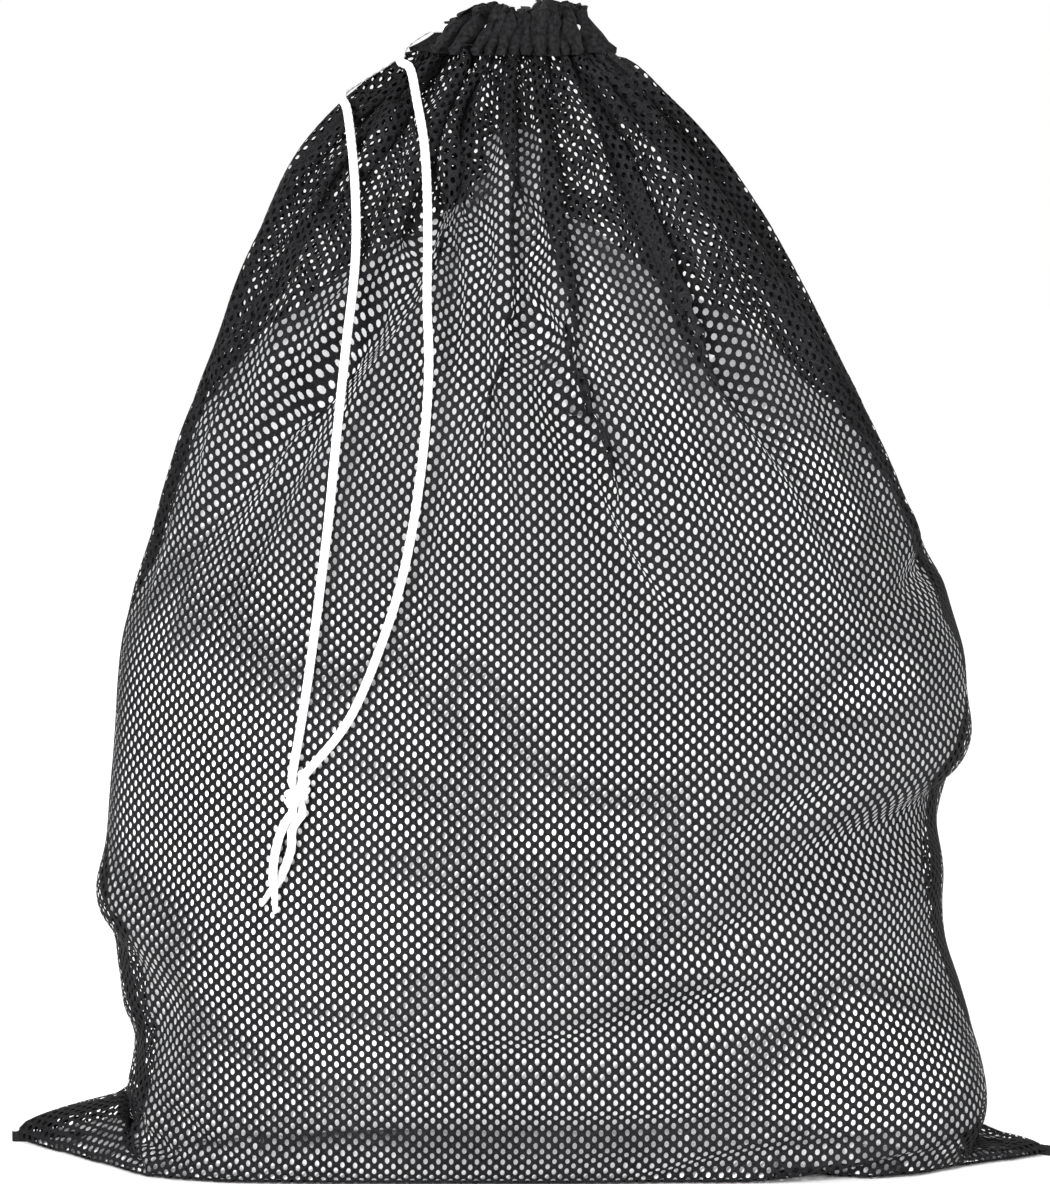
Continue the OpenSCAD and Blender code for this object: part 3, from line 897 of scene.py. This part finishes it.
def hem_casing(grid, mats):
    """The doubled, gathered hem above the stitch line: two halves of a flattened pleated tube round the cord.

    Returns the two pieces, the tube's rows of points and its loop.
    """
    rng = np.random.default_rng(11)
    fine_n = COLS * 3
    t = np.arange(fine_n) / 3.0
    path = cloth_point(grid, t, np.full(fine_n, float(ROWS - 1)))
    centre = np.array([NECK[0], 0, 0])
    tangent = np.roll(path, -1, axis=0) - np.roll(path, 1, axis=0)
    out = np.stack([tangent[:, 1], -tangent[:, 0], np.zeros(fine_n)], 1)
    out /= np.linalg.norm(out, axis=1, keepdims=True)
    away = path - centre
    ragged = 0.0016 * smooth_noise(rng, fine_n, 60) + 0.0010 * smooth_noise(rng, fine_n, 130)
    side = away[:, 0]
    hump = -0.007 * np.clip((-side - 0.030) / 0.02, 0, 1)
    for height, at, width in ((0.0055, 0.024, 0.014), (0.0022, -0.020, 0.016), (-0.0015, 0.004, 0.009)):
        hump += height * np.exp(-((side - at) / width) ** 2)
    top_h = HEM_H + np.clip(ragged, -0.004, 0.004) + hump
    uneven = 1 + 0.10 * smooth_noise(rng, fine_n, 22) + 0.07 * smooth_noise(rng, fine_n, 64)
    uneven = np.clip(uneven, 0.72, 1.22)
    # the loop round the casing's section: share of the height, offset from the middle
    outer = [(-0.14, 0.0020), (0.0, 0.0026), (0.15, 0.0032), (0.35, 0.0037), (0.55, 0.0036), (0.75, 0.0029),
             (0.90, 0.0019), (0.98, 0.0009)]
    loop = outer + [(1.0, 0.0)] + [(share, -offset) for share, offset in reversed(outer)]
    rows = []
    for share, offset in loop:
        s = min(max(share, 0), 1)
        wide = np.interp(s, [0, 0.2, 0.5, 0.8, 1], [1, 0.90, 0.80, 0.76, 0.74])
        crumple = (0.0004 + 0.0012 * s) * smooth_noise(rng, fine_n, 120)
        q = centre + away * (wide * (1 + (uneven - 1) * s))[:, None]
        q += out * (offset * uneven + crumple)[:, None]
        q[:, 0] += 0.004 * s
        q[:, 2] = path[:, 2] + top_h * share
        rows.append(q)
    rows = np.stack(rows)
    half = fine_n // 2
    made = []
    ends = (("front_hem", 0, half, "front_casing"), ("back_hem", half, fine_n, "back_casing"))
    for name, first, last, node in ends:
        part = rows[:, np.arange(first, last + 1) % fine_n]
        faces = grid_faces(len(loop), part.shape[1])[:, ::-1]
        obj = mesh_object(name, part.reshape(-1, 3), faces, mats["hem"])
        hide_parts(node)
        made.append(obj)
    return made, rows, loop


def seam_strip(name, edge, inward, mats, node):
    """A sewn edge inside the bag: the two cloth edges, held by a row of looped thread."""
    run = np.gradient(edge, axis=0)
    across = np.cross(run / (np.linalg.norm(run, axis=1, keepdims=True) + 1e-9), inward)
    strip = []
    for off in (-0.0007, 0.0007):
        rows = [edge + inward * (SEAM_W * share) + across * off for share in (0, 0.25, 0.5, 0.75, 1)]
        strip.append((np.vstack(rows), grid_faces(5, len(edge))))
    s = np.concatenate([[0], np.cumsum(np.linalg.norm(np.diff(edge, axis=0), axis=1))])
    q = np.arange(0, s[-1], 0.0006)
    at = np.stack([np.interp(q, s, edge[:, k]) for k in range(3)], 1)
    inn = np.stack([np.interp(q, s, inward[:, k]) for k in range(3)], 1)
    along = np.gradient(at, axis=0)
    along /= np.linalg.norm(along, axis=1, keepdims=True) + 1e-9
    side = np.cross(along, inn)
    turn = 2 * np.pi * q / 0.0030
    loop = at + inn * (SEAM_W * (0.55 + 0.5 * np.cos(turn)))[:, None]
    loop += side * (0.0012 * np.sin(turn))[:, None]
    loop[:, 2] = np.maximum(loop[:, 2], 0.0006)
    v, f = joined(strip)
    v[:, 2] = np.maximum(v[:, 2], 0.0005)
    tv, tf = tube(loop, 0.00028, sides=5, ends=False)
    tv[:, 2] = np.maximum(tv[:, 2], 0.0003)
    both_v, both_f = joined([(v, f), (tv, tf)])
    obj = mesh_object(name, both_v, both_f, mats["thread"])
    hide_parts(node)
    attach(obj, "bag")
    return obj


def outwards(line, middle):
    """Level unit vectors from the middle line to the line."""
    way = line - middle
    way[:, 2] = 0
    return way / (np.linalg.norm(way, axis=1, keepdims=True) + 1e-9)


def seam_thread(name, parts, node, mats):
    """Stitches joined as one piece, in place of a CAD node."""
    obj = mesh_object(name, *joined(parts), mats["thread"])
    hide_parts(node)
    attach(obj, "bag")


def exit_tacks(rows, loop, mats):
    """Close stitches beside the cord's exit, one bar on each side of it."""
    outside = rows[3]
    away = outside[:, :2] - [NECK[0], 0]
    turn = np.degrees(np.arctan2(away[:, 1] / NECK[2], away[:, 0] / NECK[1])) % 360
    tacks = []
    for deg in (156, 204):
        near = np.arange(-2, 3) + int(np.abs(turn - deg).argmin())
        near %= rows.shape[1]
        for share in np.linspace(0.12, 0.72, 15):
            level = float(np.interp(share, [s for s, _ in loop[1:9]], np.arange(1, 9)))
            k, g = int(level), level - int(level)
            at = rows[k][near] * (1 - g) + rows[min(k + 1, 8)][near] * g
            at = at + outwards(at, rows[len(loop) // 2][near]) * 0.0004
            tacks.append(tube(at, 0.0003, sides=6, ends=False))
    seam_thread("exit_tacks", tacks, "exit_bartacks", mats)


def stitch_row(rows, loop, mats):
    """Short stitches through the hem near its lower edge, outside and in."""
    parts = []
    for level in (3, len(loop) - 4):
        line = rows[level].copy()
        line[:, 2] -= 0.0055
        s = np.concatenate([[0], np.cumsum(np.linalg.norm(np.diff(line, axis=0), axis=1))])
        way = outwards(line, rows[len(loop) // 2])
        for k in range(int(s[-1] / STITCH)):
            q = np.linspace(k * STITCH, k * STITCH + 0.0026, 5)
            at = np.stack([np.interp(q, s, line[:, m]) for m in range(3)], 1)
            off = np.stack([np.interp(q, s, way[:, m]) for m in range(3)], 1)
            at = at + off * (0.00035 * np.sin(np.linspace(0, np.pi, 5)))[:, None]
            parts.append(tube(at, 0.00026, sides=5, ends=False))
    seam_thread("hem_stitching", parts, "hem_stitches", mats)


# ------------------------------------------------------------------ cords
def metres(name):
    return np.asarray(ROUTES[name], float) / 1000


def knot_mesh():
    """The two strands tied together in one overhand knot: a twisted core with two snug wraps."""
    top, low = np.array(KNOT_TOP), np.array(KNOT_LOW)
    axis = (top - low) / np.linalg.norm(top - low)
    x = np.array([1.0, 0, 0])
    y = np.cross(axis, x)
    parts = []
    t = np.linspace(0, 1, 60)
    for phase in (0, np.pi):
        a = phase + np.pi * 1.1 * t
        radius = 0.0026 + 0.0006 * np.sin(np.pi * t)
        line = low - axis * 0.0065 + (top - low + axis * 0.011) * t[:, None] \
            + (np.cos(a)[:, None] * x + np.sin(a)[:, None] * y) * radius[:, None]
        parts.append(tube(line, CORD_D / 2 * 0.96, sides=18, braid=0.12))
    s = np.linspace(0, 1, 150)
    a = 0.6 + s * 2 * np.pi * 2.15
    rise = -0.0046 + 0.0092 * s
    wide = 0.0048 + 0.0004 * np.sin(a * 2 + 1)
    tilt = 0.0022 * np.cos(a)
    middle = (top + low) / 2
    line = middle + axis * (rise + tilt)[:, None]
    line += (np.cos(a)[:, None] * x + np.sin(a)[:, None] * y) * wide[:, None]
    parts.append(tube(line, CORD_D / 2 * 0.9, sides=18, braid=0.12))
    return joined(parts)


def ring_route():
    """The cord's ring inside the hem, between its two exits on the left."""
    pts = [(-0.0548, -0.0043, 0.651), (-0.052, -0.0046, 0.651)]
    for deg in range(200, 521, 20):
        a = math.radians(deg)
        pts.append((NECK[0] + 0.038 * math.cos(a), 0.019 * math.sin(a), 0.651))
    return np.array(pts + [(-0.052, 0.0046, 0.651), (-0.0548, 0.0043, 0.651)])


def declare_cord(obj, body):
    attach(obj, body)


def add_cords(mats):
    """The braided cord's pieces; returns the centre lines of its strands and tails."""
    made = {}
    lines = {}
    for name in ("left_strand", "right_strand", "left_tail", "right_tail"):
        line = smooth_line(metres(name), 0.0006)
        lines[name] = line
        radius = np.full(len(line), CORD_D / 2)
        if "tail" in name:
            shrink = np.clip((np.arange(len(line)) / len(line) - 0.8) / 0.2, 0, 1)
            radius = radius * (1 - 0.28 * shrink)
        v, f = tube(line, radius, sides=20, braid=0.13)
        obj = mesh_object(name + "_braid", v, f, mats["cord"])
        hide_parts(name)
        made[name] = obj
    v, f = knot_mesh()
    knot = mesh_object("overhand_knot", v, f, mats["cord"])
    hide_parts("cord_knot")
    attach(knot, "cord_loop")
    tips = []
    for name in ("left_tip", "right_tip"):
        line = smooth_line(metres(name), 0.0005)
        n = len(line)
        fray = 1 - 0.25 * np.linspace(0, 1, n) ** 3
        tips.append(tube(line, TIP_D / 2 * fray, sides=16, braid=0.05))
    v, f = joined(tips)
    tip = mesh_object("heat_sealed_tips", v, f, mats["tip"])
    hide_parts("tail_tips")
    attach(tip, "cord_tails")
    hidden = smooth_line(ring_route(), 0.001)
    v, f = tube(hidden, CORD_D / 2, sides=14, braid=0.10)
    ring = mesh_object("drawcord_in_hem", v, f, mats["cord"])
    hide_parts("casing_drawcord")
    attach(ring, "bag")
    for name, pieces in (("left_strand", [knot]), ("right_strand", [])):
        declare_cord(made[name], "cord_loop")
    for name, pieces in (("left_tail", [tip]), ("right_tail", [])):
        declare_cord(made[name], "cord_tails")
    return lines


# ------------------------------------------------------------------ the whole scene
add_camera()
add_stage()
mats = {
    "cloth": cloth_material(),
    "hem": thread_material("hem_cloth", (0.0008, 0.0008, 0.001), (0.012, 0.0115, 0.0125), 420),
    "thread": thread_material("seam_thread", (0.003, 0.003, 0.003), (0.018, 0.018, 0.019), 900),
    "cord": thread_material("cord_braid", (0.60, 0.60, 0.60), (0.78, 0.78, 0.78), 500),
    "tip": thread_material("cord_tip", (0.58, 0.58, 0.57), (0.76, 0.76, 0.75), 900),
    "filling": stuffing_material(),
}
lines = add_cords(mats)

cloth, lumps = simulate(45, 8)
cloth, hollow = crease(softened(settle_sides(cloth), 1, 0.4))
corner = np.clip((cloth[..., 0] - 0.235) / 0.07, 0, 1) * np.clip((0.05 - cloth[..., 2]) / 0.03, 0, 1)
cloth[..., 1] -= CORNER_LEAN * corner
cloth = clear_cord(cloth, [lines["left_strand"][::6], lines["right_strand"][::6],
                           lines["left_tail"][::6], lines["right_tail"][::6]])
grid_normals = normals_of(cloth)

half_rows = int(round(CLOTH_V / (PITCH / 2)))
cut = half_rows // 2
for name, front, low, high, node in (
        ("front_mesh_lower", True, 0, cut, "front_panel"),
        ("front_mesh_upper", True, cut + 1, half_rows, "front_panel"),
        ("back_mesh_lower", False, 0, cut, "back_panel"),
        ("back_mesh_upper", False, cut + 1, half_rows, "back_panel")):
    obj, tall = panel_piece(name, cloth, grid_normals, mats["cloth"], front, low, high)
    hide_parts(node)
    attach(obj, "bag")

fill = filling(cloth, lumps, hollow, mats["filling"])
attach(fill, "bag")

hems, hem_rows, hem_loop = hem_casing(cloth, mats)
for obj in hems:
    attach(obj, "bag")
exit_tacks(hem_rows, hem_loop, mats)
stitch_row(hem_rows, hem_loop, mats)

side_n = normals_of(softened(cloth, 4))
for side, c in (("left", 0), ("right", COLS // 2)):
    seam_strip(side + "_side_overlock", cloth[1:, c], -side_n[1:, c], mats, side + "_side_seam")
bottom = cloth[0, :COLS // 2 + 1] + [0, 0, 0.0006]
seam_strip("bottom_overlock", bottom, np.tile([0, 0, 1.0], (len(bottom), 1)), mats, "bottom_seam")

bpy.context.view_layer.update()
